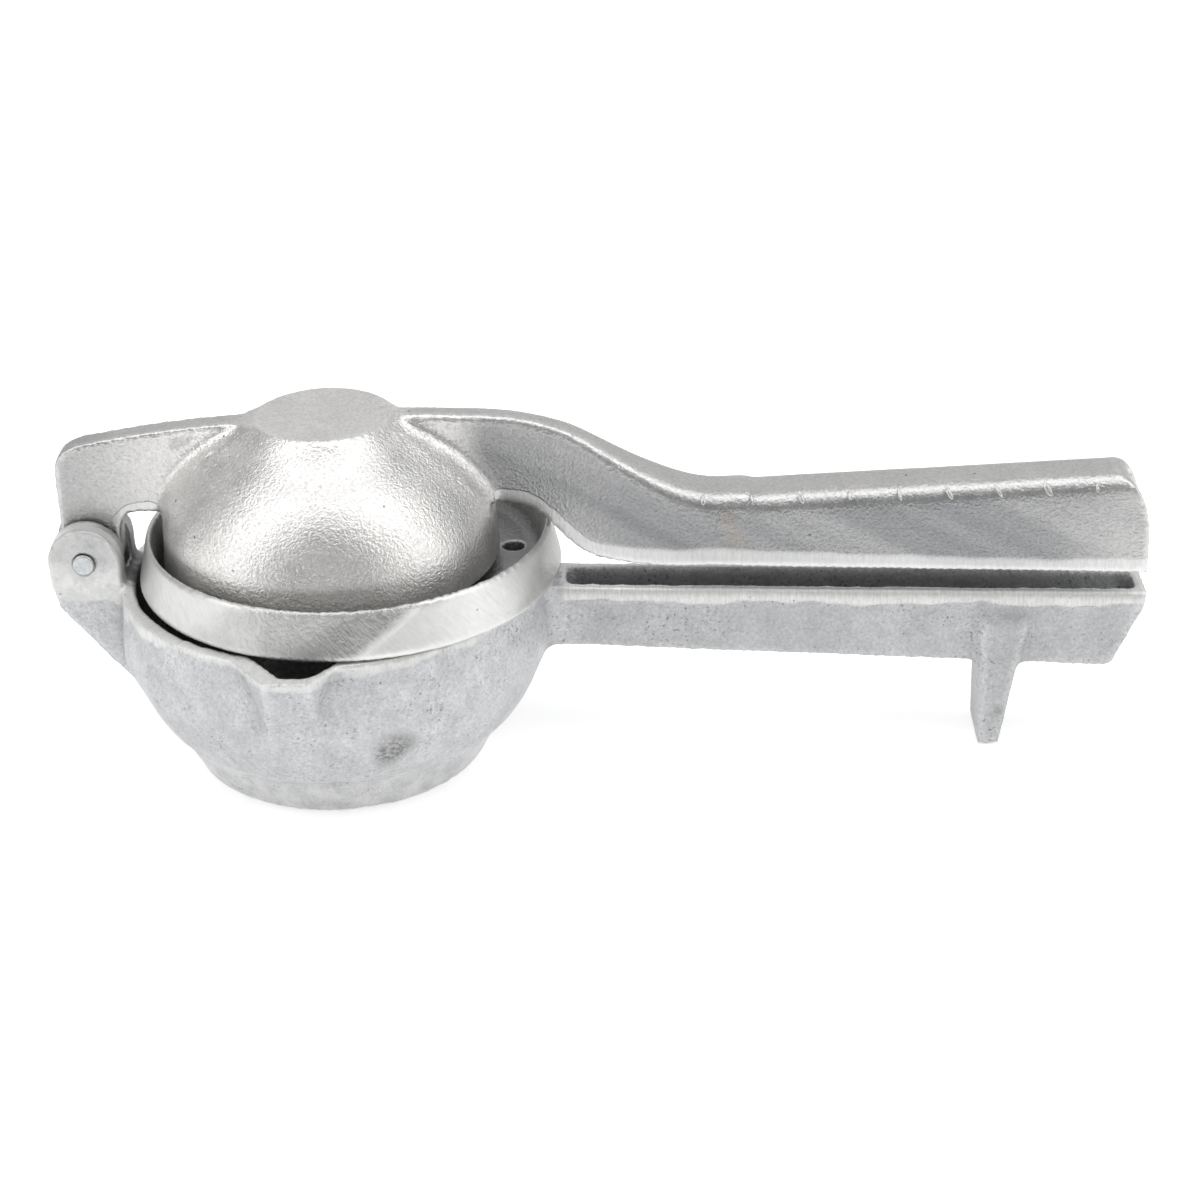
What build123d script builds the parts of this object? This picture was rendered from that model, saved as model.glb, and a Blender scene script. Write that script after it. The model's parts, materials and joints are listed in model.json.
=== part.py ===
from build123d import *
import math
import os

# Hinged lemon squeezer in cast aluminium, closed.
# Millimetres, +Z up, +X towards the free end of the handles, -Y towards the pouring beak.
# Origin: centre of the foot's flat underside, on the table.

# ---------------------------------------------------------------- driving dimensions
# every cutter runs this far past the face that it opens
OVERRUN = 0.5

# foot and bowl; the bowl's own axis stands a little towards the handle
FOOT_R = 32.3
FOOT_TOP_R = 37.6
FOOT_H = 11.0
FOOT_EDGE = 0.5
BOWL_X = 0.7
BOWL_SINK = 1.0
BOWL_LOW_R = 38.6
BOWL_MID_R = 44.4
BOWL_MID_SHARE = 0.48
BOWL_R = 47.6
BOWL_WIDE_DROP = 12.9
BOWL_WALL = 4.4
BOWL_FLOOR_Z = 8.0
BOWL_FLOOR_IN = 11.6
RIM_R = 46.6
RIM_Z = 43.4
RIM_WALL = 3.5

# pouring beak
BEAK_X = -4.2
BEAK_TIP_Y = 54.4
BEAK_TIP_W = 9.0
BEAK_TIP_ROOT_Y = 42.0
BEAK_CREASE_W = 12.0
BEAK_W = 33.0
BEAK_FOOT_W = 16.0
BEAK_H = 26.4
BEAK_SIDE_Y = 38.0
BEAK_WALL = 3.4
SPOUT_X = -2.8
SPOUT_W = 26.0
SPOUT_TIP_W = 6.0
SPOUT_FOOT_W = 10.0
SPOUT_DEPTH = 17.0

# hinge: two ears on the bowl, the lever's tongue between them, a pin through all three
PIN_OUT = 6.3
PIN_RISE = 5.8
PIN_R = 2.0
PIN_CLEARANCE = 0.06
PIN_FLARE = 0.35
PIN_DOME = 0.5
PIN_EDGE = 0.45
EAR_R = 8.1
EAR_T = 6.0
EAR_WEB_DROP = 3.2
TONGUE_R = 7.4
TONGUE_SIDE_GAP = 0.35
TONGUE_GAP = 0.9
# back edge of the ears: run towards the bowl and drop below the pin's axis
EAR_BACK = ((0.0, 0.0), (0.3, 5.0), (1.6, 10.4), (9.3, 20.2), (18.6, 32.0))

# strainer insert, loose in the rim and pushed towards the handle
STRAINER_X = 4.4
RING_STEP = 0.6
RING_DRAFT = 2.1
RING_H = 10.8
RING_LIP = 1.2
RING_WALL = 4.6
RING_EDGE = 0.8
RING_FILLET = 2.6
SPIGOT_GAP = 0.2
PLATE_T = 3.6
PLATE_RISE = 1.4
REAMER_R = 25.0
REAMER_H = 20.0
REAMER_WALL = 2.8
HOLE_D = 4.5
HOLE_MARGIN = 0.85
FLOOR_HOLE_TURN = 10.0
FLOOR_HOLES = 12
REAMER_HOLE_R = 16.0
REAMER_HOLES = 8

# press cup of the lever
CUP_X = 0.5
CUP_GAP = 1.6
CUP_SIDE_GAP = 0.9
CUP_H = 33.2
CUP_FLAT_R = 14.8
CUP_SHOULDER_IN = 10.0
CUP_SHOULDER_DROP = 10.0
CUP_WALL = 3.4
CUP_ROOF = 5.0
CUP_EDGE = 1.0

# lever arm
HEAD_L = 5.6
HEAD_DROP = 5.0
HEAD_CORNER = 7.0
HEAD_DIP = 0.6
HINGE_ARCH_RISE = 4.1
HINGE_ARCH_L = 11.4
ARM_T = 6.2
ARM_EDGE = 1.4
ARM_L = 43.7
SWELL_LEAD = 6.3
SWELL_L = 42.0
ARCH_LEAD = 7.8
RING_GAP = 0.15
# lever over the cup, then down to the handle: underside over the ring's top, crest below the cup's top
WEB_PROFILE = ((4.2, 0.3), (4.4, 0.0), (4.6, -0.4), (4.8, -0.3), (4.9, 0.0), (4.75, 0.7))
ARM_PROFILE = ((RING_GAP, 2.5), (-6.4, 5.5), (-8.3, 9.8), (-8.6, 13.7), (-8.5, 16.7), (-8.4, 17.8))

# half-tube handle of the lever
HANDLE_DROP = 18.2
HANDLE_RISE = 3.6
HANDLE_L = 84.5
HANDLE_H = 15.9
HANDLE_END_H = 22.55
HANDLE_W = 17.2
HANDLE_TOP_W = 14.4
HANDLE_SHOULDER = 4.5
HANDLE_WALL = 3.0
HANDLE_NOSE_L = 7.5
HANDLE_NOSE_H = 15.0
CHANNEL_LEAD = 12.0

# trough handle of the bowl, and its leg
TROUGH_ROOT_L = 4.2
TROUGH_L = 125.9
TROUGH_STEP = 2.64
TROUGH_SLOPE = 1.6
TROUGH_W = 14.2
TROUGH_BEVEL = 0.5
TROUGH_BEVEL_H = 3.2
TROUGH_WALL = 3.3
TROUGH_H = 15.65
TROUGH_END_H = 19.9
TROUGH_DRAFT = 2.0
TROUGH_INNER_DRAFT = 0.7
TROUGH_FLOOR = 3.6
TROUGH_END_WALL = 2.8
TROUGH_NOSE_L = 7.0
TROUGH_LIP_L = 1.8
TROUGH_LIP_H = 7.0
LEG_X = 141.2
LEG_L = 5.2
LEG_TOP_L = 10.4
LEG_W = 15.8
LEG_TOP_W = 16.6
LEG_DROP = 8.2
LEG_FADE = 4.0


def between(start, end, share):
    return start + (end - start) * share


# ---------------------------------------------------------------- worked-out places
bowl_wide_z = RIM_Z - BOWL_WIDE_DROP
bowl_mid_z = between(FOOT_H, bowl_wide_z, BOWL_MID_SHARE)

pin_x = BOWL_X - RIM_R - PIN_OUT
pin_z = RIM_Z + PIN_RISE
bore_r = PIN_R + PIN_CLEARANCE
slot_r = TONGUE_R + TONGUE_GAP
slot_w = ARM_T + 2 * TONGUE_SIDE_GAP
ears_w = slot_w + 2 * EAR_T

ring_r = RIM_R - RING_STEP
ring_top_r = ring_r - RING_DRAFT
ring_inner_r = ring_r - RING_WALL
ring_top_z = RIM_Z + RING_H
ring_end_x = STRAINER_X + ring_top_r
spigot_r = RIM_R - RIM_WALL - (STRAINER_X - BOWL_X) - SPIGOT_GAP
plate_z = RIM_Z + PLATE_RISE
plate_bottom_z = plate_z - PLATE_T
floor_hole_r = ring_inner_r - RING_FILLET - HOLE_MARGIN - HOLE_D / 2

cup_r = ring_inner_r - (STRAINER_X - CUP_X) - CUP_SIDE_GAP
cup_shoulder_r = cup_r - CUP_SHOULDER_IN
cup_inner_r = cup_r - CUP_WALL
cup_mouth_z = plate_z + CUP_GAP
cup_top_z = cup_mouth_z + CUP_H
cup_shoulder_z = cup_top_z - CUP_SHOULDER_DROP
cup_roof_z = cup_top_z - CUP_ROOF

head_x = pin_x - HEAD_L
head_z = cup_top_z - HEAD_DROP
hinge_arch_z = ring_top_z + HINGE_ARCH_RISE
arch_x = ring_end_x - ARCH_LEAD
swell_x = ring_end_x - SWELL_LEAD
handle_x = ring_end_x + ARM_L
handle_z = cup_top_z - HANDLE_DROP
handle_end_x = handle_x + HANDLE_L
handle_end_z = handle_z + HANDLE_RISE

trough_x = BOWL_X + RIM_R + TROUGH_ROOT_L
trough_end_x = trough_x + TROUGH_L

SIDE = Plane.XZ
PIN_AXIS = Axis((pin_x, 0, pin_z), (0, 1, 0))
BOWL_AXIS = Axis((BOWL_X, 0, 0), (0, 0, 1))
STRAINER_AXIS = Axis((STRAINER_X, 0, 0), (0, 0, 1))
CUP_AXIS = Axis((CUP_X, 0, 0), (0, 0, 1))


def cross_plane(x):
    """plane across the handles at x: local X is the world's Y, local Y is up"""
    return Plane(origin=(x, 0, 0), x_dir=(0, 1, 0), z_dir=(1, 0, 0))


def trough_rim_z(x):
    return RIM_Z - TROUGH_STEP - math.tan(math.radians(TROUGH_SLOPE)) * (x - trough_x)


def trough_floor_z(x):
    return trough_rim_z(x) - between(TROUGH_H, TROUGH_END_H, (x - trough_x) / TROUGH_L)


def handle_top_z(x):
    return between(handle_z, handle_end_z, (x - handle_x) / HANDLE_L)


def handle_bottom_z(x):
    return handle_top_z(x) - between(HANDLE_H, HANDLE_END_H, (x - handle_x) / HANDLE_L)


def pin_outline(radius, half, over):
    """half section of a round bar along Y, flared at both ends and carried on by over"""
    return (
        (pin_x, -half - over),
        (pin_x + radius + PIN_FLARE, -half - over),
        (pin_x + radius + PIN_FLARE, -half),
        (pin_x + radius, -half + PIN_FLARE),
        (pin_x + radius, half - PIN_FLARE),
        (pin_x + radius + PIN_FLARE, half),
        (pin_x + radius + PIN_FLARE, half + over),
        (pin_x, half + over),
    )


def arm_section(x, bottom_z, top_z, inset=0.0):
    """cross-section of the lever at x: a plate near the cup that swells into the round-backed handle"""
    share = min(max((x - swell_x) / SWELL_L, 0), 1)
    swell = share * share * (3 - 2 * share)
    half_bottom = between(ARM_T, HANDLE_W, swell) / 2 - inset
    half_top = between(ARM_T, HANDLE_TOP_W, swell) / 2 - inset
    shoulder = between(ARM_EDGE, HANDLE_SHOULDER, swell) - inset / 2
    with BuildSketch(cross_plane(x)) as section:
        with BuildLine():
            Polyline(
                (-half_bottom, bottom_z),
                (half_bottom, bottom_z),
                (half_top, top_z),
                (-half_top, top_z),
                close=True,
            )
        make_face()
        fillet(section.vertices().group_by(Axis.Y)[-1], shoulder)
    return section.sketch


def channel_section(x):
    """cross-section of the handle's inside, open downwards"""
    return arm_section(x, handle_bottom_z(x) - OVERRUN, handle_top_z(x) - HANDLE_WALL, HANDLE_WALL)


def dome_points(radius, foot_z, crown_z):
    """three points of a quarter ellipse, from the dome's foot to its crown"""
    return (
        (STRAINER_X + radius, foot_z),
        (STRAINER_X + radius * math.sqrt(0.5), between(foot_z, crown_z, math.sqrt(0.5))),
        (STRAINER_X, crown_z),
    )


def beak_outline(middle_x, width, tip_width, side_y, tip_y):
    """plan of the beak or its channel: two flanks that meet a short straight tip"""
    with BuildLine() as outline:
        Polyline(
            (middle_x - width / 2, -side_y),
            (middle_x - tip_width / 2, -tip_y),
            (middle_x + tip_width / 2, -tip_y),
            (middle_x + width / 2, -side_y),
            (middle_x + width / 4, -side_y / 2),
            (middle_x - width / 4, -side_y / 2),
            close=True,
        )
    return outline


# ---------------------------------------------------------------- base casting
with BuildPart() as base_casting:
    # foot, turned about the origin
    with BuildSketch(SIDE):
        with BuildLine():
            Polyline(
                (0, 0),
                (FOOT_R - FOOT_EDGE, 0),
                (FOOT_R, FOOT_EDGE),
                (FOOT_TOP_R, FOOT_H),
                (0, FOOT_H),
                close=True,
            )
        make_face()
    revolve(axis=Axis.Z)
    # bowl, turned about its own axis
    with BuildSketch(SIDE):
        with BuildLine():
            low = (BOWL_X + BOWL_LOW_R, FOOT_H)
            wide = (BOWL_X + BOWL_R, bowl_wide_z)
            rim = (BOWL_X + RIM_R, RIM_Z)
            Line((BOWL_X, FOOT_H - BOWL_SINK), (BOWL_X + FOOT_R, FOOT_H - BOWL_SINK))
            Line((BOWL_X + FOOT_R, FOOT_H - BOWL_SINK), low)
            Spline(low, (BOWL_X + BOWL_MID_R, bowl_mid_z), wide, tangents=[(1, 0.9), (0, 1)])
            Spline(wide, rim, tangents=[(0, 1), (-0.12, 1)])
            Polyline(rim, (BOWL_X, RIM_Z), (BOWL_X, FOOT_H - BOWL_SINK))
        make_face()
    revolve(axis=BOWL_AXIS)
    # pouring beak: a wide lip that runs down into the bowl's wall
    with BuildSketch(Plane.XY.offset(RIM_Z - BEAK_H)):
        add(beak_outline(BEAK_X, BEAK_FOOT_W, BEAK_CREASE_W, BEAK_SIDE_Y, BEAK_TIP_ROOT_Y))
        make_face()
    with BuildSketch(Plane.XY.offset(RIM_Z)):
        add(beak_outline(BEAK_X, BEAK_W, BEAK_TIP_W, BEAK_SIDE_Y, BEAK_TIP_Y))
        make_face()
    loft(ruled=True)
    # both hinge ears as one block, slotted further down
    with BuildSketch(SIDE.offset(-ears_w / 2)):
        with Locations((pin_x, pin_z)):
            Circle(EAR_R)
        with BuildLine():
            Polyline(
                *[(pin_x - EAR_R + run, pin_z - drop) for run, drop in EAR_BACK],
                (pin_x + 2 * EAR_R, pin_z - EAR_BACK[-1][1]),
                (pin_x + 2 * EAR_R, RIM_Z - RIM_WALL),
                (pin_x + EAR_R, RIM_Z),
                (pin_x + EAR_R, pin_z),
                close=True,
            )
        make_face()
    extrude(amount=ears_w)
    # trough handle, tapering a little towards its underside
    for x in (BOWL_X + RIM_R - BOWL_WALL / 2, trough_end_x):
        rim_z = trough_rim_z(x)
        half = TROUGH_W / 2
        with BuildSketch(cross_plane(x)):
            with BuildLine():
                Polyline(
                    (-half + TROUGH_BEVEL, rim_z),
                    (half - TROUGH_BEVEL, rim_z),
                    (half, rim_z - TROUGH_BEVEL_H),
                    (half - TROUGH_DRAFT, trough_floor_z(x)),
                    (-half + TROUGH_DRAFT, trough_floor_z(x)),
                    (-half, rim_z - TROUGH_BEVEL_H),
                    close=True,
                )
            make_face()
    loft(ruled=True)
    # leg under the trough's free end, fading into the trough's sides
    leg_top_z = trough_rim_z(LEG_X) - LEG_DROP
    for z, length, width in (
        (0, LEG_L, LEG_W),
        (leg_top_z, LEG_TOP_L, LEG_TOP_W),
        (leg_top_z + LEG_FADE, LEG_TOP_L, TROUGH_W - TROUGH_BEVEL),
    ):
        with BuildSketch(Plane.XY.offset(z)):
            with Locations((LEG_X, 0)):
                Rectangle(length, width, align=(Align.MIN, Align.CENTER))
    loft(ruled=True)
    # slanted end of the trough handle
    nose_x = trough_end_x - TROUGH_NOSE_L
    end_z = trough_rim_z(trough_end_x)
    end_floor_z = trough_floor_z(trough_end_x)
    lip = (trough_end_x - TROUGH_LIP_L, end_z - TROUGH_LIP_H)
    with BuildSketch(SIDE.offset(-TROUGH_W)):
        with BuildLine():
            Polyline((nose_x, end_floor_z - OVERRUN), (nose_x, end_floor_z), lip)
            Spline(lip, (trough_end_x, end_z), tangents=[(0.5, 0.86), (0, 1)])
            Polyline(
                (trough_end_x, end_z),
                (trough_end_x + OVERRUN, end_z),
                (trough_end_x + OVERRUN, end_floor_z - OVERRUN),
                (nose_x, end_floor_z - OVERRUN),
            )
        make_face()
    extrude(amount=2 * TROUGH_W, mode=Mode.SUBTRACT)
    # open channel along the trough
    for x in (trough_x, trough_end_x - TROUGH_END_WALL):
        rim_z = trough_rim_z(x)
        half = TROUGH_W / 2 - TROUGH_WALL
        with BuildSketch(cross_plane(x)):
            with BuildLine():
                Polyline(
                    (-half, rim_z + OVERRUN),
                    (half, rim_z + OVERRUN),
                    (half - TROUGH_INNER_DRAFT, trough_floor_z(x) + TROUGH_FLOOR),
                    (-half + TROUGH_INNER_DRAFT, trough_floor_z(x) + TROUGH_FLOOR),
                    close=True,
                )
            make_face()
    loft(ruled=True, mode=Mode.SUBTRACT)
    # inside of the bowl, which follows its outside
    with BuildSketch(SIDE):
        with BuildLine():
            inner_rim_x = BOWL_X + RIM_R - RIM_WALL
            inner_wide = (BOWL_X + BOWL_R - BOWL_WALL, bowl_wide_z)
            inner_mid = (BOWL_X + BOWL_MID_R - BOWL_WALL, bowl_mid_z)
            inner_floor = (BOWL_X + BOWL_LOW_R - BOWL_FLOOR_IN, BOWL_FLOOR_Z)
            Line((BOWL_X, BOWL_FLOOR_Z), inner_floor)
            Spline(inner_floor, inner_mid, inner_wide, tangents=[(1, 0), (0, 1)])
            Polyline(
                inner_wide,
                (inner_rim_x, RIM_Z),
                (inner_rim_x, RIM_Z + OVERRUN),
                (BOWL_X, RIM_Z + OVERRUN),
                (BOWL_X, BOWL_FLOOR_Z),
            )
        make_face()
    revolve(axis=BOWL_AXIS, mode=Mode.SUBTRACT)
    # spout channel through the rim, inside the beak
    with BuildSketch(Plane.XY.offset(RIM_Z - SPOUT_DEPTH)):
        add(beak_outline(SPOUT_X, SPOUT_FOOT_W, SPOUT_TIP_W, BEAK_SIDE_Y - BEAK_WALL, BEAK_TIP_ROOT_Y))
        make_face()
    with BuildSketch(Plane.XY.offset(RIM_Z + OVERRUN)):
        add(beak_outline(SPOUT_X, SPOUT_W, SPOUT_TIP_W, BEAK_SIDE_Y, BEAK_TIP_Y - BEAK_WALL))
        make_face()
    loft(ruled=True, mode=Mode.SUBTRACT)
    # slot between the ears, open upwards and to the left so that the lever can swing back
    with BuildSketch(SIDE.offset(-slot_w / 2)):
        with Locations((pin_x, pin_z)):
            Circle(slot_r)
        with BuildLine():
            Polyline(
                (pin_x - 2 * EAR_R, RIM_Z - EAR_WEB_DROP),
                (pin_x, pin_z - slot_r),
                (pin_x + slot_r, pin_z),
                (pin_x + slot_r, pin_z + 2 * EAR_R),
                (pin_x - 2 * EAR_R, pin_z + 2 * EAR_R),
                close=True,
            )
        make_face()
    extrude(amount=slot_w, mode=Mode.SUBTRACT)
    # pin bore, countersunk on both outer faces
    with BuildSketch(Plane.XY.offset(pin_z)):
        with BuildLine():
            Polyline(*pin_outline(bore_r, ears_w / 2, OVERRUN), close=True)
        make_face()
    revolve(axis=PIN_AXIS, mode=Mode.SUBTRACT)
base_casting.part.label = "base_casting"

# ---------------------------------------------------------------- hinge pin
with BuildPart() as hinge_pin:
    # plain shank, upset at both ends to fill the countersinks
    with BuildSketch(Plane.XY.offset(pin_z)):
        with BuildLine():
            Polyline(*pin_outline(PIN_R, ears_w / 2, PIN_DOME), close=True)
        make_face()
    revolve(axis=PIN_AXIS)
    fillet(hinge_pin.edges().filter_by(GeomType.CIRCLE).group_by(Axis.Y)[0], PIN_EDGE)
    fillet(hinge_pin.edges().filter_by(GeomType.CIRCLE).group_by(Axis.Y)[-1], PIN_EDGE)
hinge_pin.part.label = "hinge_pin"

# ---------------------------------------------------------------- strainer insert
with BuildPart() as strainer_insert:
    # ring, floor and reamer dome in one turned shape
    reamer_inner_r = REAMER_R - REAMER_WALL
    reamer_top_z = plate_z + REAMER_H
    reamer_inner_z = reamer_top_z - REAMER_WALL
    inner_x = STRAINER_X + ring_inner_r
    with BuildSketch(SIDE):
        with BuildLine():
            Polyline(
                (STRAINER_X + reamer_inner_r, plate_bottom_z),
                (STRAINER_X + spigot_r, plate_bottom_z),
                (STRAINER_X + spigot_r, RIM_Z),
                (STRAINER_X + ring_r - RING_EDGE, RIM_Z),
                (STRAINER_X + ring_r, RIM_Z + RING_EDGE),
                (ring_end_x, ring_top_z - RING_LIP / 2),
                (ring_end_x - RING_LIP / 3, ring_top_z),
                (ring_end_x - RING_LIP, ring_top_z),
                (inner_x, plate_z + RING_FILLET),
            )
            CenterArc((inner_x - RING_FILLET, plate_z + RING_FILLET), RING_FILLET, 0, arc_size=-90)
            Line((inner_x - RING_FILLET, plate_z), (STRAINER_X + REAMER_R, plate_z))
            Spline(*dome_points(REAMER_R, plate_z, reamer_top_z), tangents=[(0, 1), (-1, 0)])
            Line((STRAINER_X, reamer_top_z), (STRAINER_X, reamer_inner_z))
            Spline(
                *dome_points(reamer_inner_r, plate_bottom_z, reamer_inner_z),
                tangents=[(0, 1), (-1, 0)],
            )
        make_face()
    revolve(axis=STRAINER_AXIS)
    # drain holes: one circle of them in the floor, one in the dome
    for circle_r, count, turn in (
        (floor_hole_r, FLOOR_HOLES, FLOOR_HOLE_TURN),
        (REAMER_HOLE_R, REAMER_HOLES, 0),
    ):
        with BuildSketch(Plane.XY.offset(plate_bottom_z - OVERRUN)):
            with Locations((STRAINER_X, 0)):
                with PolarLocations(circle_r, count, start_angle=turn):
                    Circle(HOLE_D / 2)
        extrude(amount=PLATE_T + REAMER_H + 2 * OVERRUN, mode=Mode.SUBTRACT)
strainer_insert.part.label = "strainer_insert"

# ---------------------------------------------------------------- press lever
with BuildPart() as press_lever:
    # press cup, turned
    mouth = (CUP_X + cup_r, cup_mouth_z + CUP_EDGE)
    crown = (CUP_X + CUP_FLAT_R + CUP_EDGE, cup_top_z - CUP_EDGE)
    with BuildSketch(SIDE):
        with BuildLine():
            Polyline((CUP_X, cup_mouth_z), (CUP_X + cup_r - CUP_EDGE, cup_mouth_z), mouth)
            Spline(
                mouth,
                (CUP_X + cup_shoulder_r, cup_shoulder_z),
                crown,
                tangents=[(-0.02, 1), (-0.55, 0.6)],
            )
            Polyline(crown, (CUP_X + CUP_FLAT_R, cup_top_z), (CUP_X, cup_top_z), (CUP_X, cup_mouth_z))
        make_face()
    revolve(axis=CUP_AXIS)
    # flat head on the hinge side and the web up to the cup, with the round tongue at the pin
    corner = (head_x, head_z - HEAD_CORNER)
    brow = (head_x + HEAD_CORNER, head_z)
    crest = (CUP_X - CUP_FLAT_R, cup_top_z - HEAD_DIP)
    arch = (pin_x + HINGE_ARCH_L, hinge_arch_z)
    with BuildSketch(SIDE.offset(-ARM_T / 2)):
        with BuildLine():
            Line((head_x, pin_z), corner)
            Spline(corner, brow, tangents=[(0, 1), (1, 0.2)])
            Spline(brow, crest, tangents=[(1, 0.2), (1, 0.05)])
            Polyline(crest, (CUP_X, cup_top_z), (CUP_X, hinge_arch_z), arch)
            Spline(arch, (pin_x + TONGUE_R, pin_z), tangents=[(-1, 0), (0, -1)])
            Line((pin_x + TONGUE_R, pin_z), (head_x, pin_z))
        make_face()
        with Locations((pin_x, pin_z)):
            Circle(TONGUE_R)
    extrude(amount=ARM_T)
    # web over the cup, arm and root of the handle: one smooth run of evenly spaced cross-sections
    sections = []
    for step, (rise, drop) in enumerate(WEB_PROFILE):
        x = between(CUP_X, arch_x, step / (len(WEB_PROFILE) - 1))
        sections.append(arm_section(x, ring_top_z + rise, cup_top_z - drop))
    for step, (rise, drop) in enumerate(ARM_PROFILE):
        x = between(ring_end_x, handle_x, step / len(ARM_PROFILE))
        sections.append(arm_section(x, ring_top_z + rise, cup_top_z - drop))
    sections.append(arm_section(handle_x, handle_bottom_z(handle_x), handle_z))
    loft(sections)
    # half-tube handle
    loft([arm_section(x, handle_bottom_z(x), handle_top_z(x)) for x in (handle_x, handle_end_x)])
    # rounded free end of the handle
    nose = (handle_end_x - HANDLE_NOSE_L, handle_end_z)
    chin = (handle_end_x, handle_end_z - HANDLE_NOSE_H)
    with BuildSketch(SIDE.offset(-HANDLE_W)):
        with BuildLine():
            Spline(nose, chin, tangents=[(1, -0.4), (0, -1)])
            Polyline(
                chin,
                (handle_end_x + OVERRUN, handle_end_z - HANDLE_NOSE_H),
                (handle_end_x + OVERRUN, handle_end_z + OVERRUN),
                (handle_end_x - HANDLE_NOSE_L, handle_end_z + OVERRUN),
                nose,
            )
        make_face()
    extrude(amount=2 * HANDLE_W, mode=Mode.SUBTRACT)
    # inside of the cup
    open_z = cup_mouth_z - OVERRUN
    inner_mouth = (CUP_X + cup_inner_r, cup_mouth_z + CUP_EDGE)
    with BuildSketch(SIDE):
        with BuildLine():
            Polyline((CUP_X, open_z), (CUP_X + cup_inner_r, open_z), inner_mouth)
            Spline(
                inner_mouth,
                (CUP_X + cup_shoulder_r - CUP_WALL, cup_shoulder_z - CUP_WALL),
                (CUP_X, cup_roof_z),
                tangents=[(-0.02, 1), (-1, 0)],
            )
            Line((CUP_X, cup_roof_z), (CUP_X, open_z))
        make_face()
    revolve(axis=CUP_AXIS, mode=Mode.SUBTRACT)
    # channel of the half tube, open downwards and at its free end
    loft(
        [channel_section(x) for x in (handle_x - CHANNEL_LEAD, handle_end_x + OVERRUN)],
        mode=Mode.SUBTRACT,
    )
    # pin bore through the tongue
    with Locations(Plane(origin=(pin_x, 0, pin_z), z_dir=(0, 1, 0))):
        Hole(bore_r)
press_lever.part.label = "press_lever"

os.makedirs("parts", exist_ok=True)
for piece in (base_casting, hinge_pin, strainer_insert, press_lever):
    export_step(piece.part, f"parts/{piece.part.label}.step")
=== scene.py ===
import json
import math
import bpy
import bmesh
import numpy as np
from mathutils import Matrix, Vector


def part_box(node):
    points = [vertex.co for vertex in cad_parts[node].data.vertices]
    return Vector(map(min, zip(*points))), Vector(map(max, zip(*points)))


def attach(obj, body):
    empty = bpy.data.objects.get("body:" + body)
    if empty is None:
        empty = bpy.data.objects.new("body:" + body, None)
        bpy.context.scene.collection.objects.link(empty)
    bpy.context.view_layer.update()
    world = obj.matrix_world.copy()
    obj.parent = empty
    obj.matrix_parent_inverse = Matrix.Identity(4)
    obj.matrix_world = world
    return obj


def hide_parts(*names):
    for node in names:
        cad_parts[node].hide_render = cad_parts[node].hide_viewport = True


mm = 0.001
farAway = 1e9
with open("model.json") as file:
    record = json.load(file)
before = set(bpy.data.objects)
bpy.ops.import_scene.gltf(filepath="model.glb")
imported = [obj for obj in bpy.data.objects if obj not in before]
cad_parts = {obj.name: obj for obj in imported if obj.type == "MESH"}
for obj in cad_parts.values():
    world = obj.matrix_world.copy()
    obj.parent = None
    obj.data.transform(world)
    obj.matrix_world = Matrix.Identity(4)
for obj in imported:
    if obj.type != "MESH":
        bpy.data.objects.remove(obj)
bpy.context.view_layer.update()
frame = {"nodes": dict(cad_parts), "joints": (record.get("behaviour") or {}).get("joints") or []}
print("frame loaded:", sorted(frame["nodes"]))

# camera, floor and light: the camera's place is in millimetres, the rest of the studio in metres

camera = {
    "place": (70.4, -529.3, 302.0), "turn": 1.30, "down": 26.85, "roll": -1.51,
    "lens": 81, "sensor": 36, "clip": (0.05, 50),
}
floor = {"size": 40.0, "colour": 0.9, "glow": 0.48}
sky = {"front": 0.25, "back": 0.44, "above": 0.38, "frontEnd": -0.3, "backStart": 0.35, "bandTop": 0.8}
lampAim = (0.06, 0, 0.04)
softboxes = {
    "left": {"place": (-1.25, -0.6, 0.95), "size": (0.8, 1.9), "radiance": 1.9},
    "right": {"place": (1.4, -0.46, 0.95), "size": (0.8, 1.9), "radiance": 1.95},
    "back": {"place": (0.1, 1.5, 1.0), "size": (2.6, 1.3), "radiance": 0.5},
    "top": {"place": (0.05, -0.15, 1.6), "size": (1.8, 1.1), "radiance": 1.45},
}


def makeCamera():
    data = bpy.data.cameras.new("camera")
    data.lens = camera["lens"]
    data.sensor_width = camera["sensor"]
    data.clip_start, data.clip_end = camera["clip"]
    cam = bpy.data.objects.new("camera", data)
    bpy.context.scene.collection.objects.link(cam)
    cam.matrix_world = (
        Matrix.Translation(Vector(camera["place"]) * mm)
        @ Matrix.Rotation(math.radians(camera["turn"]), 4, "Z")
        @ Matrix.Rotation(math.radians(90 - camera["down"]), 4, "X")
        @ Matrix.Rotation(math.radians(camera["roll"]), 4, "Z")
    )
    bpy.context.scene.camera = cam


def maths(tree, kind, first, second):
    node = tree.nodes.new("ShaderNodeMath")
    node.operation = kind
    for socket, value in zip(node.inputs, (first, second)):
        if isinstance(value, (int, float)):
            socket.default_value = value
        else:
            tree.links.new(value, socket)
    return node.outputs[0]


def times(tree, first, second):
    return maths(tree, "MULTIPLY", first, second)


def plus(tree, first, second):
    return maths(tree, "ADD", first, second)


def minus(tree, first, second):
    return maths(tree, "SUBTRACT", first, second)


def ranged(tree, value, low, high, start=0.0, end=1.0, smooth=False):
    node = tree.nodes.new("ShaderNodeMapRange")
    if smooth:
        node.interpolation_type = "SMOOTHSTEP"
    for label, number in (("From Min", low), ("From Max", high), ("To Min", start), ("To Max", end)):
        if isinstance(number, (int, float)):
            node.inputs[label].default_value = number
        else:
            tree.links.new(number, node.inputs[label])
    tree.links.new(value, node.inputs["Value"])
    return node.outputs["Result"]


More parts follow.
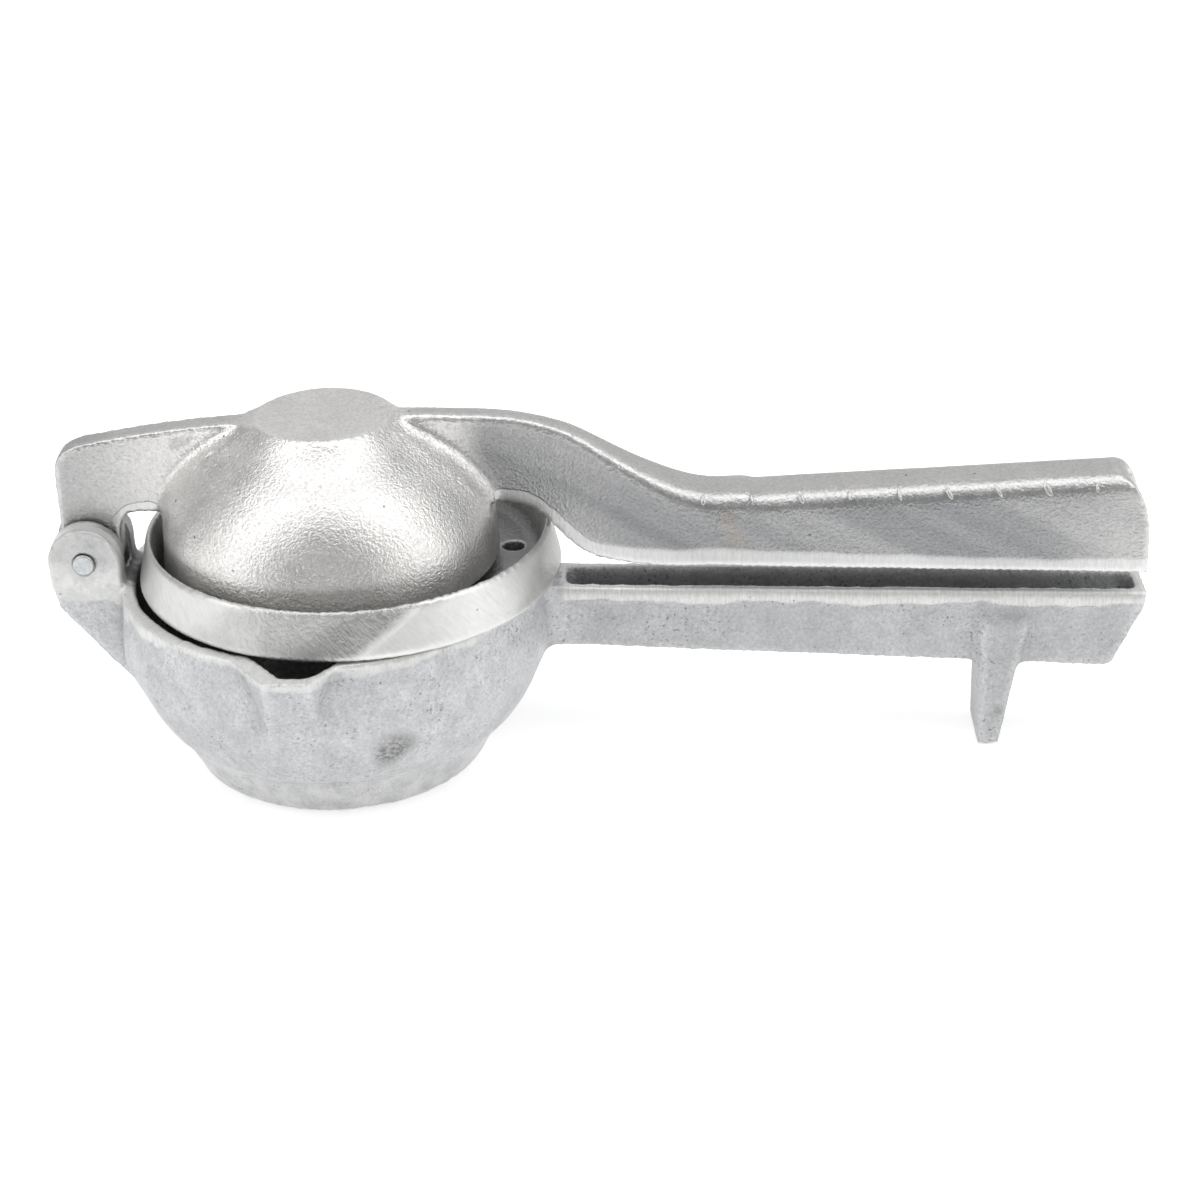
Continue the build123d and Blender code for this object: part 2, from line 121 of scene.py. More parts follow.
def makeFloor():
    half = floor["size"] / 2
    corners = [(-half, -half, 0), (half, -half, 0), (half, half, 0), (-half, half, 0)]
    mesh = bpy.data.meshes.new("floor")
    mesh.from_pydata(corners, [], [(0, 1, 2, 3)])
    plane = bpy.data.objects.new("floor", mesh)
    bpy.context.scene.collection.objects.link(plane)
    material = bpy.data.materials.new("paleFloor")
    material.use_nodes = True
    tree = material.node_tree
    tree.nodes.clear()
    paint = tree.nodes.new("ShaderNodeBsdfDiffuse")
    paint.inputs["Color"].default_value = (floor["colour"],) * 3 + (1,)
    # camera, mirror and glass rays see the floor's own white
    path = tree.nodes.new("ShaderNodeLightPath").outputs
    direct = maths(tree, "MAXIMUM", path["Is Camera Ray"], path["Is Glossy Ray"])
    direct = maths(tree, "MAXIMUM", direct, path["Is Transmission Ray"])
    glow = tree.nodes.new("ShaderNodeEmission")
    tree.links.new(times(tree, direct, floor["glow"]), glow.inputs["Strength"])
    both = tree.nodes.new("ShaderNodeAddShader")
    tree.links.new(paint.outputs[0], both.inputs[0])
    tree.links.new(glow.outputs[0], both.inputs[1])
    out = tree.nodes.new("ShaderNodeOutputMaterial")
    tree.links.new(both.outputs[0], out.inputs["Surface"])
    mesh.materials.append(material)


def makeSky():
    # pale behind the object, dim in front of it, the same for every ray
    world = bpy.data.worlds.new("studio")
    bpy.context.scene.world = world
    world.use_nodes = True
    tree = world.node_tree
    tree.nodes.clear()
    place = tree.nodes.new("ShaderNodeTexCoord")
    split = tree.nodes.new("ShaderNodeSeparateXYZ")
    tree.links.new(place.outputs["Generated"], split.inputs[0])
    forward, up = split.outputs["Y"], split.outputs["Z"]
    level = ranged(tree, forward, sky["frontEnd"], sky["backStart"], sky["front"], sky["back"], smooth=True)
    level = ranged(tree, up, 0.0, sky["bandTop"], level, sky["above"], smooth=True)
    light = tree.nodes.new("ShaderNodeBackground")
    tree.links.new(level, light.inputs["Color"])
    out = tree.nodes.new("ShaderNodeOutputWorld")
    tree.links.new(light.outputs[0], out.inputs["Surface"])


def makeSoftbox(name, settings):
    data = bpy.data.lights.new(name, "AREA")
    data.shape = "RECTANGLE"
    data.size, data.size_y = settings["size"]
    data.energy = settings["radiance"] * math.pi * data.size * data.size_y
    lamp = bpy.data.objects.new(name, data)
    bpy.context.scene.collection.objects.link(lamp)
    lamp.location = settings["place"]
    aim = Vector(lampAim) - lamp.location
    lamp.rotation_euler = aim.to_track_quat("-Z", "Y").to_euler()


makeCamera()
makeFloor()
makeSky()
for name, settings in softboxes.items():
    makeSoftbox(name, settings)
bpy.context.scene.view_settings.view_transform = "Standard"
print("studio ready")

# mesh tools shared by the castings


def bakeModifiers(piece):
    graph = bpy.context.evaluated_depsgraph_get()
    mesh = bpy.data.meshes.new_from_object(piece.evaluated_get(graph))
    piece.modifiers.clear()
    old = piece.data
    piece.data = mesh
    bpy.data.meshes.remove(old)
    mesh.name = piece.name


# remeshing on a tilted grid keeps steps out of the long, nearly level edges
gridTilt = Matrix.Rotation(0.45, 4, "X") @ Matrix.Rotation(0.6, 4, "Y") @ Matrix.Rotation(0.3, 4, "Z")
mergeGap = 0.002  # millimetres


def castCopy(node, name, voxel):
    # the node's mesh is loose triangles: a merged copy is remeshed into an even skin
    # and laid back on the node's faces
    mesh = frame["nodes"][node].data.copy()
    merged = bmesh.new()
    merged.from_mesh(mesh)
    bmesh.ops.remove_doubles(merged, verts=merged.verts, dist=mergeGap * mm)
    merged.to_mesh(mesh)
    merged.free()
    mesh.materials.clear()
    mesh.transform(gridTilt)
    plain = bpy.data.objects.new(name + "Plain", mesh)
    piece = bpy.data.objects.new(name, mesh.copy())
    for thing in (plain, piece):
        bpy.context.scene.collection.objects.link(thing)
    remesh = piece.modifiers.new("skin", "REMESH")
    remesh.mode = "VOXEL"
    remesh.voxel_size = voxel * mm
    remesh.use_smooth_shade = True
    snap = piece.modifiers.new("snap", "SHRINKWRAP")
    snap.target = plain
    snap.wrap_method = "NEAREST_SURFACEPOINT"
    bakeModifiers(piece)
    bpy.data.objects.remove(plain)
    bpy.data.meshes.remove(mesh)
    piece.data.transform(gridTilt.inverted())
    piece.data.update()
    return piece


def readPoints(mesh):
    points = np.empty(len(mesh.vertices) * 3)
    mesh.vertices.foreach_get("co", points)
    return points.reshape(-1, 3) / mm


def writePoints(mesh, points):
    mesh.vertices.foreach_set("co", (points * mm).ravel())
    mesh.update()


def readNormals(mesh):
    normals = np.empty(len(mesh.vertices) * 3)
    mesh.vertex_normals.foreach_get("vector", normals)
    return normals.reshape(-1, 3)


def readEdges(mesh):
    edges = np.empty(len(mesh.edges) * 2, int)
    mesh.edges.foreach_get("vertices", edges)
    return edges.reshape(-1, 2)


def neighbourMean(values, edges):
    count = len(values)
    degree = np.bincount(edges.ravel(), minlength=count)
    columns = values.reshape(count, -1).T
    total = [
        np.bincount(edges[:, 0], c[edges[:, 1]], count) + np.bincount(edges[:, 1], c[edges[:, 0]], count)
        for c in columns
    ]
    return (np.array(total) / np.maximum(degree, 1)).T.reshape(values.shape)


def smoothStep(value, start, end):
    share = np.clip((value - start) / (end - start), 0, 1)
    return share * share * (3 - 2 * share)


def fadeOut(value, start, end):
    return 1 - smoothStep(value, start, end)


def outwardness(x, y, normals):
    # 1 where a face looks straight away from the upright axis, -1 where it looks at it
    return (x * normals[:, 0] + y * normals[:, 1]) / np.maximum(np.hypot(x, y), 1)


def fillCorners(mesh, rounds, weight, start=0.025, full=0.07):
    # raises sharp inner corners only, so they turn into the soft fillets of a casting
    edges = readEdges(mesh)
    points = readPoints(mesh)
    for _ in range(rounds):
        normals = readNormals(mesh)
        rise = ((neighbourMean(points, edges) - points) * normals).sum(1)
        points += normals * (rise * smoothStep(rise, start, full) * weight)[:, None]
        writePoints(mesh, points)


def soften(mesh, rounds, weight):
    # rounds every edge a little
    edges = readEdges(mesh)
    points = readPoints(mesh)
    for _ in range(rounds):
        points += (neighbourMean(points, edges) - points) * (0.5 * weight)[:, None]
    writePoints(mesh, points)


def relaxAlong(mesh, rounds, weight):
    # evens out stretched faces without changing the shape
    edges = readEdges(mesh)
    points = readPoints(mesh)
    for _ in range(rounds):
        normals = readNormals(mesh)
        shift = neighbourMean(points, edges) - points
        shift -= normals * (shift * normals).sum(1)[:, None]
        points += shift * (0.6 * weight)[:, None]
        writePoints(mesh, points)


def store(mesh, name, values):
    kind, field = ("FLOAT", "value") if values.ndim == 1 else ("FLOAT_VECTOR", "vector")
    attribute = mesh.attributes.new(name, kind, "POINT")
    attribute.data.foreach_set(field, values.astype(np.float32).ravel())


def hollows(mesh, rounds):
    # below 0 on ridges and edges, above 0 in corners and hollows
    edges = readEdges(mesh)
    points = readPoints(mesh)
    mean = points.copy()
    for _ in range(rounds):
        mean += (neighbourMean(mean, edges) - mean) * 0.5
    return ((mean - points) * readNormals(mesh)).sum(1)


def sideDistance(across, up, outline):
    # signed distance to a broken line in a plane, and the direction straight away from it
    spots = np.stack([across, up], 1)
    nearest = np.full(len(spots), farAway)
    side = np.ones(len(spots))
    away = np.zeros_like(spots)
    for start, end in zip(outline[:-1], outline[1:]):
        step = end - start
        share = np.clip(((spots - start) @ step) / (step @ step), 0, 1)
        gap = spots - (start + share[:, None] * step)
        length = np.hypot(gap[:, 0], gap[:, 1])
        closer = length < nearest
        facing = np.array([step[1], -step[0]]) / np.hypot(*step)
        nearest[closer] = length[closer]
        away[closer] = facing
        side[closer] = np.where(gap[closer] @ facing < 0, -1, 1)
    return nearest * side, away


# skin: a node tree that makes a casting's surface uneven, always inwards


def makeSkinTree():
    tree = bpy.data.node_groups.new("castSkin", "GeometryNodeTree")
    face = tree.interface
    face.new_socket("Geometry", in_out="INPUT", socket_type="NodeSocketGeometry")
    for label in ("Wave Size", "Wave Depth", "Lump Size", "Lump Depth", "Seed"):
        face.new_socket(label, in_out="INPUT", socket_type="NodeSocketFloat")
    face.new_socket("Material", in_out="INPUT", socket_type="NodeSocketMaterial")
    face.new_socket("Geometry", in_out="OUTPUT", socket_type="NodeSocketGeometry")
    nodes, links = tree.nodes, tree.links
    given = nodes.new("NodeGroupInput")
    place = nodes.new("GeometryNodeInputPosition")
    total = None
    for size, depth in (("Wave Size", "Wave Depth"), ("Lump Size", "Lump Depth")):
        noise = nodes.new("ShaderNodeTexNoise")
        noise.noise_dimensions = "4D"
        noise.inputs["Detail"].default_value = 1.0
        links.new(place.outputs[0], noise.inputs["Vector"])
        links.new(given.outputs["Seed"], noise.inputs["W"])
        links.new(maths(tree, "DIVIDE", 1.0, given.outputs[size]), noise.inputs["Scale"])
        dent = times(tree, noise.outputs["Fac"], given.outputs[depth])
        total = dent if total is None else plus(tree, total, dent)
    normal = nodes.new("GeometryNodeInputNormal")
    shift = nodes.new("ShaderNodeVectorMath")
    shift.operation = "SCALE"
    links.new(normal.outputs[0], shift.inputs[0])
    links.new(times(tree, total, -1.0), shift.inputs["Scale"])
    move = nodes.new("GeometryNodeSetPosition")
    links.new(given.outputs["Geometry"], move.inputs["Geometry"])
    links.new(shift.outputs[0], move.inputs["Offset"])
    solid = nodes.new("GeometryNodeRealizeInstances")
    links.new(move.outputs[0], solid.inputs[0])
    paint = nodes.new("GeometryNodeSetMaterial")
    links.new(solid.outputs[0], paint.inputs["Geometry"])
    links.new(given.outputs["Material"], paint.inputs["Material"])
    out = nodes.new("NodeGroupOutput")
    links.new(paint.outputs[0], out.inputs[0])
    return tree


def runTree(piece, tree, inputs):
    modifier = piece.modifiers.new(tree.name, "NODES")
    modifier.node_group = tree
    ids = {item.name: item.identifier for item in tree.interface.items_tree if item.in_out == "INPUT"}
    for label, value in inputs.items():
        modifier[ids[label]] = value
    bakeModifiers(piece)


skinTree = makeSkinTree()


def roughen(piece, skin, material):
    runTree(piece, skinTree, {
        "Wave Size": skin["waveSize"] * mm, "Wave Depth": skin["waveDepth"] * mm,
        "Lump Size": skin["lumpSize"] * mm, "Lump Depth": skin["lumpDepth"] * mm,
        "Seed": float(skin["seed"]), "Material": material,
    })


# materials

middle = 0.5  # the middle value of a noise
spans = {  # between which two values a noise, a hollow or a pore's chance goes from none to all
    "blots": (0.32, 0.68), "marks": (0.35, 0.7), "rough": (0.3, 0.7), "stain": (0.3, 0.58),
    "hollowShade": (0.04, 0.4), "edgeWearAndHighlight": (-0.03, -0.16), "pits": (0.6, 0.85),
    "flecks": (0.57, 0.68), "patches": (0.42, 0.62),
}


def addNoise(tree, place, size, detail, roughness, seed, stretch=None, turn=0.0):
    # noise whose blots are about size millimetres wide, drawn out along a turned axis
    noise = tree.nodes.new("ShaderNodeTexNoise")
    noise.noise_dimensions = "4D"
    noise.inputs["W"].default_value = seed
    noise.inputs["Scale"].default_value = 1 / (size * mm)
    noise.inputs["Detail"].default_value = detail
    noise.inputs["Roughness"].default_value = roughness
    if stretch:
        mapping = tree.nodes.new("ShaderNodeMapping")
        mapping.vector_type = "TEXTURE"
        mapping.inputs["Rotation"].default_value = (0, 0, math.radians(turn))
        mapping.inputs["Scale"].default_value = (1, stretch, 1)
        tree.links.new(place, mapping.inputs["Vector"])
        place = mapping.outputs[0]
    tree.links.new(place, noise.inputs["Vector"])
    return noise.outputs["Fac"]


def addPits(tree, place, gap, size):
    # a few round pores, gap millimetres apart
    cells = tree.nodes.new("ShaderNodeTexVoronoi")
    cells.inputs["Scale"].default_value = 1 / (gap * mm)
    tree.links.new(place, cells.inputs["Vector"])
    hole = ranged(tree, cells.outputs["Distance"], size / gap * 0.5, size / gap, 1.0, 0.0, smooth=True)
    split = tree.nodes.new("ShaderNodeSeparateColor")
    tree.links.new(cells.outputs["Color"], split.inputs[0])
    return times(tree, hole, ranged(tree, split.outputs[0], *spans["pits"]))


def addFlecks(tree, place, size, patch):
    # small ragged dark flecks that gather in patches
    flecks = ranged(tree, addNoise(tree, place, size, 2, 0.7, seed=7.0), *spans["flecks"])
    patches = ranged(tree, addNoise(tree, place, patch, 2, 0.6, seed=8.0), *spans["patches"])
    return times(tree, flecks, patches)


def mixed(tree, share, first, second, blend="MIX"):
    node = tree.nodes.new("ShaderNodeMix")
    node.data_type = "RGBA"
    node.blend_type = blend
    sockets = [s for s in node.inputs if s.type == "RGBA"]
    for socket, value in zip([node.inputs[0]] + sockets, (share, first, second)):
        if isinstance(value, tuple):
            socket.default_value = value + (1,)
        elif isinstance(value, (int, float)):
            socket.default_value = value
        else:
            tree.links.new(value, socket)
    return [s for s in node.outputs if s.type == "RGBA"][0]


def attributeOf(tree, name, output="Fac"):
    node = tree.nodes.new("ShaderNodeAttribute")
    node.attribute_name = name
    return node.outputs[output]


def castAluminium(name, look):
    material = bpy.data.materials.new(name)
    material.use_nodes = True
    tree = material.node_tree
    shader = tree.nodes["Principled BSDF"]
    place = tree.nodes.new("ShaderNodeTexCoord").outputs["Object"]
    trail = attributeOf(tree, "trail", "Vector")
    hollow = attributeOf(tree, "hollow")
    shade = attributeOf(tree, "shade")

    blots = addNoise(tree, place, look["blotSize"], 3, 0.6, seed=1.0)
    grain = addNoise(tree, place, look["grainSize"], 2, 0.6, seed=2.0)
    fine = addNoise(tree, place, look["fineSize"], 1, 0.5, seed=3.0)
    edge = addNoise(tree, place, look["edgeSize"], 2, 0.55, seed=4.0)
    marks = addNoise(tree, trail, look["markSize"], 2, 0.6, 5.0, look["markLength"], look["markTurn"])
    pits = addPits(tree, place, look["pitGap"], look["pitSize"])
    flecks = addFlecks(tree, place, look["fleckSize"], look["fleckPatch"])

    # ground places have an uneven border, and the grain is calmer on them
    ragged = times(tree, minus(tree, edge, middle), look["edgeShift"])
    ragged = plus(tree, ragged, times(tree, minus(tree, marks, middle), look["edgeMarks"]))
    ground = plus(tree, attributeOf(tree, "ground"), ragged)
    ground = ranged(tree, ground, middle - look["edgeSoft"], middle + look["edgeSoft"], smooth=True)
    calm = minus(tree, 1.0, times(tree, ground, look["groundCalm"]))

    # colour: cast and ground metal, darkened by the shade attribute (mostly painted shade), painted shade in
    # hollows, wear and a painted highlight on edges, stains, then specks and pores
    bare = mixed(tree, ranged(tree, blots, *spans["blots"]), look["dark"], look["light"])
    # the shade attribute mixes in a darker colour: painted shade in most places, a duller tone on the
    # trough's sides and the ring's outside
    bare = mixed(tree, shade, bare, look["shadedAndDull"])
    bright = mixed(tree, ranged(tree, marks, *spans["marks"]), look["ground"], look["groundDark"])
    bright = mixed(tree, shade, bright, look["shadedAndDull"])
    colour = mixed(tree, ground, bare, bright)
    # painted shade in hollows and corners
    colour = mixed(tree, ranged(tree, hollow, *spans["hollowShade"], 0.0, look["hollowShade"]), colour, look["hollowShadeColour"])
    # convex edges paler: partly wear, partly a painted highlight
    colour = mixed(tree, ranged(tree, hollow, *spans["edgeWearAndHighlight"], 0.0, look["edgeWearAndHighlight"]), colour, look["ground"])
    spots = times(tree, attributeOf(tree, "stain"), ranged(tree, grain, *spans["stain"]))
    colour = mixed(tree, spots, colour, look["stain"])
    speckle = times(tree, minus(tree, grain, middle), look["grainTone"])
    speckle = plus(tree, speckle, times(tree, minus(tree, fine, middle), look["fineTone"]))
    tone = plus(tree, 1.0, times(tree, speckle, calm))
    holes = times(tree, pits, look["pitTone"])
    holes = maths(tree, "MAXIMUM", holes, times(tree, times(tree, flecks, calm), look["fleckTone"]))
    tone = minus(tree, tone, holes)
    tree.links.new(mixed(tree, 1.0, colour, tone, "MULTIPLY"), shader.inputs["Base Color"])

    castRough = ranged(tree, blots, *spans["rough"], *look["rough"])
    groundRough = ranged(tree, marks, *spans["rough"], *look["groundRough"])
    tree.links.new(ranged(tree, ground, 0.0, 1.0, castRough, groundRough), shader.inputs["Roughness"])
    shader.inputs["Metallic"].default_value = look["metallic"]

    # relief, in millimetres
    pebbles = times(tree, grain, look["grainDepth"])
    pebbles = plus(tree, pebbles, times(tree, fine, look["fineDepth"]))
    pebbles = times(tree, pebbles, calm)
    pebbles = minus(tree, pebbles, times(tree, pits, look["pitDepth"]))
    scratches = times(tree, times(tree, marks, look["markDepth"]), attributeOf(tree, "scratch"))
    bump = tree.nodes.new("ShaderNodeBump")
    bump.inputs["Strength"].default_value = 1.0
    bump.inputs["Distance"].default_value = mm
    tree.links.new(plus(tree, pebbles, scratches), bump.inputs["Height"])
    tree.links.new(bump.outputs[0], shader.inputs["Normal"])
    return material


hollowReach = 10  # rounds of smoothing that hollows and edges are told from


def setSurface(mesh, trail, rounds, **fields):
    # what the materials read: the way along the piece for scratches, hollows and the marks
    store(mesh, "trail", trail * mm)
    store(mesh, "hollow", hollows(mesh, rounds))
    for name in ("ground", "shade", "stain", "scratch"):
        store(mesh, name, np.clip(fields.get(name, np.zeros(len(trail))), 0, 1))


def near(points, centre, radius, soft):
    distance = np.linalg.norm(points - np.array(centre), axis=1)
    return fadeOut(distance, radius, radius + soft)


def wobble(values, size, seed):
    # slow uneven wave between -1 and 1, along one direction
    turn = values / size * 2 * math.pi
    wave = np.sin(turn + seed) + 0.6 * np.sin(2.3 * turn + 2 * seed) + 0.4 * np.sin(5.1 * turn + 5 * seed)
    return wave / 2


boreMargin = (3.0, 4.0)  # millimetres from the pin's axis


def clearOfPin(points):
    # 0 at the hinge's bore, which stays as cut, and 1 away from it
    pinX, _, pinZ = frame["joints"][0]["pos_m"]
    fromPin = np.hypot(points[:, 0] - pinX / mm, points[:, 2] - pinZ / mm)
    return smoothStep(fromPin, *boreMargin)


# base casting: bowl, beak, foot, ears, trough handle and leg, all places in millimetres

baseSkin = {
    "voxel": 0.84, "fillet": 30, "round": 4, "seed": 3,
    "waveSize": 14, "waveDepth": 0.35, "lumpSize": 3.0, "lumpDepth": 0.1,
    "bowlX": 0.7, "rimZ": 43.4, "beakX": -4, "beakReach": (17, 21), "beakY": -37,
    "earX": (42, 45), "earY": -7, "slotHalf": 5, "crispFillet": 0.75, "crispRound": 0.8, "troughX": (50, 56),
}
flats = {
    "count": 15, "depth": 0.55, "wall": (38, 43), "wallEnd": 49, "facing": (0.4, 0.8),
    "low": (17, 26), "high": (2.5, 0.5), "uneven": ((0.09, 3, 1), (0.05, 7, 0)),
}
baseMarks = {
    "troughStart": (47, 53), "troughBand": 3.6, "troughWave": 0.7, "troughRim": (2.6, 0.028, 51.5),
    "legX": 146, "legHalf": (5, 6.5), "bowlEnd": (44, 50), "bowlRadius": 46, "rimBand": 2.2, "rimWave": 1.6,
    "earZ": 44.5, "earSlope": 0.25, "earBand": (2.6, 4.0),
    "footTop": (10, 11.5), "stepZ": 11.2, "stepBand": (0.4, 1.2),
    "rimGround": 0.62, "earGround": 0.7, "footPaintedLight": 0.52, "stepPaintedHighlight": 0.6, "legLess": 0.3,
    "channelShade": 0.55, "insideShade": 0.5, "earSideShade": 0.85,
    "earTopShade": (0.3, 0.35), "troughShade": (0.3, 0.1),
    "bowlStains": (((15.5, -40, 23), 2.0, 4.5), ((13, -39, 20), 1.6, 3.6), ((7, -37.5, 15), 0.7, 2.6)),
    "legStain": ((146, -8, 9), 0.4, 1.4), "legStainShare": 0.6,
}
baseLook = {
    "light": (0.69, 0.7, 0.715), "dark": (0.53, 0.535, 0.55),
    "shadedAndDull": (0.3, 0.3, 0.305), "hollowShadeColour": (0.26, 0.26, 0.265),
    "ground": (0.86, 0.86, 0.845), "groundDark": (0.66, 0.66, 0.65), "stain": (0.2, 0.195, 0.19),
    "blotSize": 6, "grainSize": 0.9, "fineSize": 0.5,
    "edgeSize": 4.0, "edgeShift": 1.2, "edgeMarks": 0.9, "edgeSoft": 0.25, "groundCalm": 0.75,
    "markSize": 0.5, "markLength": 6, "markTurn": 0,
    "pitGap": 2.4, "pitSize": 0.3, "fleckSize": 0.8, "fleckPatch": 9,
    "grainTone": 0.55, "fineTone": 0.5, "pitTone": 0.4, "fleckTone": 0.6, "hollowShade": 0.6, "edgeWearAndHighlight": 0.25,
    "rough": (0.42, 0.56), "groundRough": (0.36, 0.48), "metallic": 0.45,
    "grainDepth": 0.22, "fineDepth": 0.1, "markDepth": 0.12, "pitDepth": 0.12,
}


def grindFlats(mesh, skin):
    # the bowl's wall was dressed by hand in shallow flats
    points, normals = readPoints(mesh), readNormals(mesh)
    x, y, z = points.T
    x = x - skin["bowlX"]
    radius, angle = np.hypot(x, y), np.arctan2(y, x)
    wall = smoothStep(radius, *flats["wall"]) * (radius < flats["wallEnd"])
    wall = wall * smoothStep(outwardness(x, y, normals), *flats["facing"])
    highStart, highEnd = (skin["rimZ"] - gap for gap in flats["high"])
    zone = smoothStep(z, *flats["low"]) * fadeOut(z, highStart, highEnd) * wall
    turned = angle
    for swing, waves, shift in flats["uneven"]:
        turned = turned + swing * np.sin(waves * angle + shift)
    step = 2 * math.pi / flats["count"]
    offset = np.abs((turned / step) % 1 - 0.5) * 2  # 0 in the middle of a flat, 1 at its edges
    depth = flats["depth"] * (1 - offset * offset)
    inward = np.stack([x / np.maximum(radius, 1), y / np.maximum(radius, 1), z * 0], 1)
    writePoints(mesh, points - inward * (depth * zone)[:, None])


def shapeBase(mesh):
    points = readPoints(mesh)
    x, y = points[:, 0], points[:, 1]
    clear = clearOfPin(points)
    # the beak's creases and the ears keep sharper edges than the rest
    onBeak = fadeOut(np.abs(x - baseSkin["beakX"]), *baseSkin["beakReach"]) * (y < baseSkin["beakY"])
    ears = smoothStep(-x, *baseSkin["earX"])
    crisp = np.maximum(onBeak, ears * (y < baseSkin["earY"]))
    # the slot between the ears stays as cut, so that the lever's tongue runs free
    inSlot = ears * (np.abs(y) < baseSkin["slotHalf"])
    fillCorners(mesh, baseSkin["fillet"], clear * (1 - np.maximum(baseSkin["crispFillet"] * crisp, inSlot)))
    grindFlats(mesh, baseSkin)
    soften(mesh, baseSkin["round"], clear * (1 - np.maximum(baseSkin["crispRound"] * crisp, inSlot)))
    soften(mesh, baseSkin["round"], smoothStep(x, *baseSkin["troughX"]))


def markBase(mesh, marks):
    points, normals = readPoints(mesh), readNormals(mesh)
    x, y, z = points.T
    up = normals[:, 2]
    radius, angle = np.hypot(x, y), np.arctan2(y, x)
    rimZ = baseSkin["rimZ"]

    # ground metal: the trough's rim, the bowl's rim and the ears' fronts; painted light on the foot and a
    # painted highlight along the step over it
    drop, slope, slopeStart = marks["troughRim"]
    troughRim = rimZ - drop - slope * (x - slopeStart)
    bandDepth = marks["troughBand"] + marks["troughWave"] * wobble(x, 38, 1.0)
    troughBand = smoothStep(z - troughRim, -bandDepth - 0.5, -bandDepth + 0.5)
    troughBand = smoothStep(x, *marks["troughStart"]) * troughBand
    troughBand *= (np.abs(y) > 5) | (up > 0.5)
    leg = fadeOut(np.abs(x - marks["legX"]), *marks["legHalf"]) * smoothStep(np.abs(y), 6, 7)
    onBowl = fadeOut(x, *marks["bowlEnd"])
    rimTop = smoothStep(z, rimZ - 1.2, rimZ - 0.6) * smoothStep(up, 0.3, 0.7) * onBowl
    rimDepth = marks["rimBand"] + marks["rimWave"] * wobble(angle * marks["bowlRadius"], 60, 2.0)
    rimSide = smoothStep(z - rimZ, -rimDepth - 1.5, -rimDepth + 0.5) * onBowl * (np.abs(up) < 0.6)
    earFront = smoothStep(np.abs(y), 7.5, 9) * (x < -42)
    earBand = earFront * fadeOut(np.abs(z - marks["earZ"] + marks["earSlope"] * (x + 52)), *marks["earBand"])
    # painted light on the foot ring, as the floor's bounce would give
    floorLitFoot = fadeOut(z, *marks["footTop"]) * (x < 60)
    # painted highlight: a pale line along the step over the foot
    stepHighlight = fadeOut(np.abs(z - marks["stepZ"]), *marks["stepBand"]) * (x < 50) * smoothStep(radius, 34, 36)
    ground = np.maximum.reduce([
        troughBand * (1 - marks["legLess"] * leg), rimTop, rimSide * marks["rimGround"],
        earBand * marks["earGround"], floorLitFoot * marks["footPaintedLight"], stepHighlight * marks["stepPaintedHighlight"],
    ])

    # painted shade: the trough's channel, the bowl's inside, the ears' inner sides and tops; the trough's
    # sides are a little darker too
    channel = smoothStep(x, 51, 54) * (np.abs(y) < 4.6) * (z < troughRim - 0.8) * (z > 18)
    inwardFaces = (outwardness(x, y, normals) < 0.2) & (up > -0.2)
    insideBowl = (radius < 43.5) & (z > 8.5) & (z < rimZ - 0.5) & inwardFaces & (x < 44)
    earSide = (x < -41) * (z > 38) * (smoothStep(normals[:, 0], 0.2, 0.6) * (y > -6) + (np.abs(y) < 4.5))
    plainShade, topShade = marks["earTopShade"]
    earTop = plainShade + topShade * smoothStep(up, 0.2, 0.6) * (normals[:, 1] > -0.75)
    earTop = earFront * smoothStep(z, 47, 51) * earTop
    sideShade, sideWave = marks["troughShade"]
    troughSide = smoothStep(x, 48, 58) * (sideShade + sideWave * wobble(x, 52, 2.0)) * (1 - troughBand)
    shade = np.maximum.reduce([
        channel * marks["channelShade"], insideBowl * marks["insideShade"], earSide * marks["earSideShade"],
        earTop, troughSide,
    ])

    stain = sum(near(points, *spot) for spot in marks["bowlStains"])
    stain += near(points, *marks["legStain"]) * marks["legStainShare"]
    along = np.where(x > marks["bowlRadius"], x, angle * marks["bowlRadius"])
    trail = np.stack([along, z + y * 0.5, x * 0], 1)
    setSurface(mesh, trail, hollowReach, ground=ground, shade=shade, stain=stain, scratch=ground)


def makeBase():
    piece = castCopy("base_casting", "bowl_casting", baseSkin["voxel"])
    shapeBase(piece.data)
    roughen(piece, baseSkin, castAluminium("baseAluminium", baseLook))
    markBase(piece.data, baseMarks)
    return piece


# strainer insert

